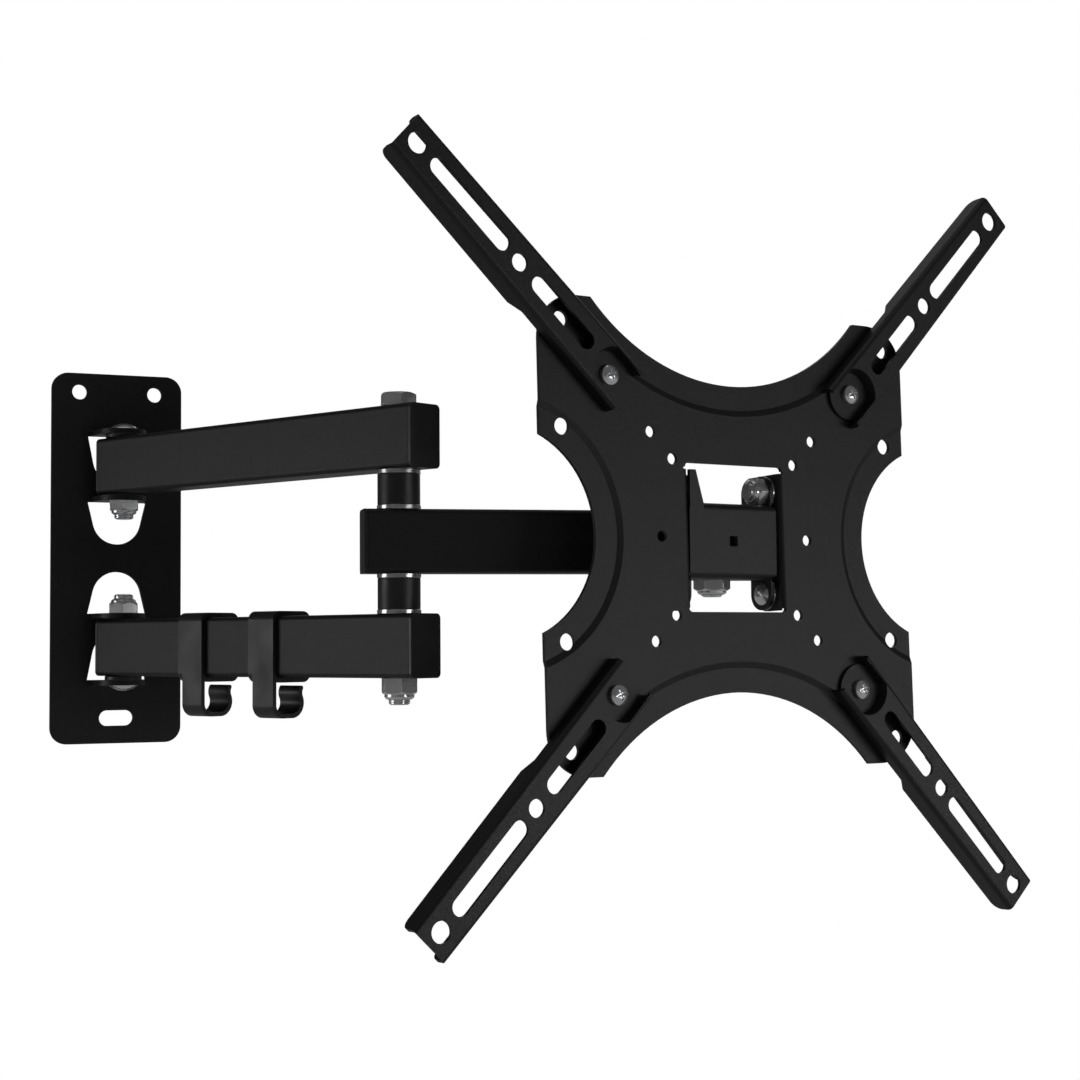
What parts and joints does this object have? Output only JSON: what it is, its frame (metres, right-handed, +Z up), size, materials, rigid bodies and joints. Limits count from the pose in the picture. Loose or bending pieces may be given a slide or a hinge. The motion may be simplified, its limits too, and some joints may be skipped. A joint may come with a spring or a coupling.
{
  "type": "full motion screen wall mount",
  "caption": "Articulating wall mount for a flat screen: slotted wall plate, twin rear arms, forearm, swivel and tilt head, and a screen plate with folding extension arms.",
  "frame": {"origin": "middle of the wall plate's back face, in the plane of the wall", "axes": "+Y into the wall, +Z up, +X to the right when facing the wall; the mount stands out toward -Y"},
  "size_m": [0.4682, 0.3102, 0.3803],
  "materials": {
    "black_coat": "fine texture powder coat",
    "zinc_fastener": "bright zinc plate",
    "bright_steel": "smooth plated",
    "black_plastic": "moulded satin"
  },
  "bodies": {
    "wall_bracket": {"wall_plate": "black_coat", "upper_wall_bolt": "zinc_fastener", "lower_wall_bolt": "zinc_fastener", "wall_bolt_nuts": "zinc_fastener", "wall_washers": "black_plastic"},
    "rear_arm_pair": {"upper_arm": "black_coat", "lower_arm": "black_coat", "rear_arm_end_caps": "black_plastic", "wall_end_sleeves": "bright_steel", "elbow_end_sleeves": "bright_steel", "elbow_bolt": "zinc_fastener", "elbow_nut": "zinc_fastener", "upper_elbow_spacer": "black_plastic", "lower_elbow_spacer": "black_plastic", "elbow_washers": "bright_steel"},
    "forearm_link": {"forearm": "black_coat", "forearm_end_caps": "black_plastic", "forearm_sleeves": "bright_steel"},
    "swivel_head": {"tilt_bracket": "black_coat", "swivel_bolt": "zinc_fastener", "swivel_nut": "zinc_fastener", "swivel_washers": "bright_steel", "tilt_pivot_rivets": "zinc_fastener", "tilt_clamp_bolts": "zinc_fastener", "tilt_clamp_nuts": "zinc_fastener", "tilt_clamp_washers": "bright_steel"},
    "screen_plate": {"vesa_plate": "black_coat", "arm_screws": "zinc_fastener", "arm_nuts": "zinc_fastener"},
    "upper_left_extension": {"extension_arm_upper_left": "black_coat"},
    "upper_right_extension": {"extension_arm_upper_right": "black_coat"},
    "lower_left_extension": {"extension_arm_lower_left": "black_coat"},
    "lower_right_extension": {"extension_arm_lower_right": "black_coat"},
    "inner_clip": {"inner_cable_clip": "black_plastic"},
    "outer_clip": {"outer_cable_clip": "black_plastic"}
  },
  "joints": [
    {"name": "wall_swivel", "type": "hinge", "parent": "wall_bracket", "child": "rear_arm_pair", "pos_m": [0, -0.0205, 0], "axis": [0, 0, 1], "range_deg": [-115, 65]},
    {"name": "elbow_swivel", "type": "hinge", "parent": "rear_arm_pair", "child": "forearm_link", "pos_m": [0.09044, -0.21445, 0], "axis": [0, 0, -1], "range_deg": [-97, 162]},
    {"name": "head_swivel", "type": "hinge", "parent": "forearm_link", "child": "swivel_head", "pos_m": [0.2428, -0.24795, 0], "axis": [0, 0, 1], "range_deg": [-16, 153]},
    {"name": "head_tilt", "type": "hinge", "parent": "swivel_head", "child": "screen_plate", "pos_m": [0.24405, -0.25585, -0.0255], "axis": [0.9877, 0.1564, 0], "range_deg": [-1, 14]},
    {"name": "upper_left_extension_swing", "type": "hinge", "parent": "screen_plate", "child": "upper_left_extension", "pos_m": [0.17189, -0.27968, 0.07639], "axis": [0.1563, -0.9871, 0.0349], "range_deg": [-38, 38]},
    {"name": "upper_right_extension_swing", "type": "hinge", "parent": "screen_plate", "child": "upper_right_extension", "pos_m": [0.32005, -0.25622, 0.07639], "axis": [0.1563, -0.9871, 0.0349], "range_deg": [-38, 38]},
    {"name": "lower_left_extension_swing", "type": "hinge", "parent": "screen_plate", "child": "lower_left_extension", "pos_m": [0.17271, -0.28485, -0.07352], "axis": [0.1563, -0.9871, 0.0349], "range_deg": [-38, 38]},
    {"name": "lower_right_extension_swing", "type": "hinge", "parent": "screen_plate", "child": "lower_right_extension", "pos_m": [0.32087, -0.26139, -0.07352], "axis": [0.1563, -0.9871, 0.0349], "range_deg": [-38, 38]},
    {"name": "inner_clip_slide", "type": "slide", "parent": "rear_arm_pair", "child": "inner_clip", "axis": [0.4226, -0.9063, 0], "range_m": [-0.025, 0.03]},
    {"name": "outer_clip_slide", "type": "slide", "parent": "rear_arm_pair", "child": "outer_clip", "axis": [0.4226, -0.9063, 0], "range_m": [-0.03, 0.05]}
  ]
}
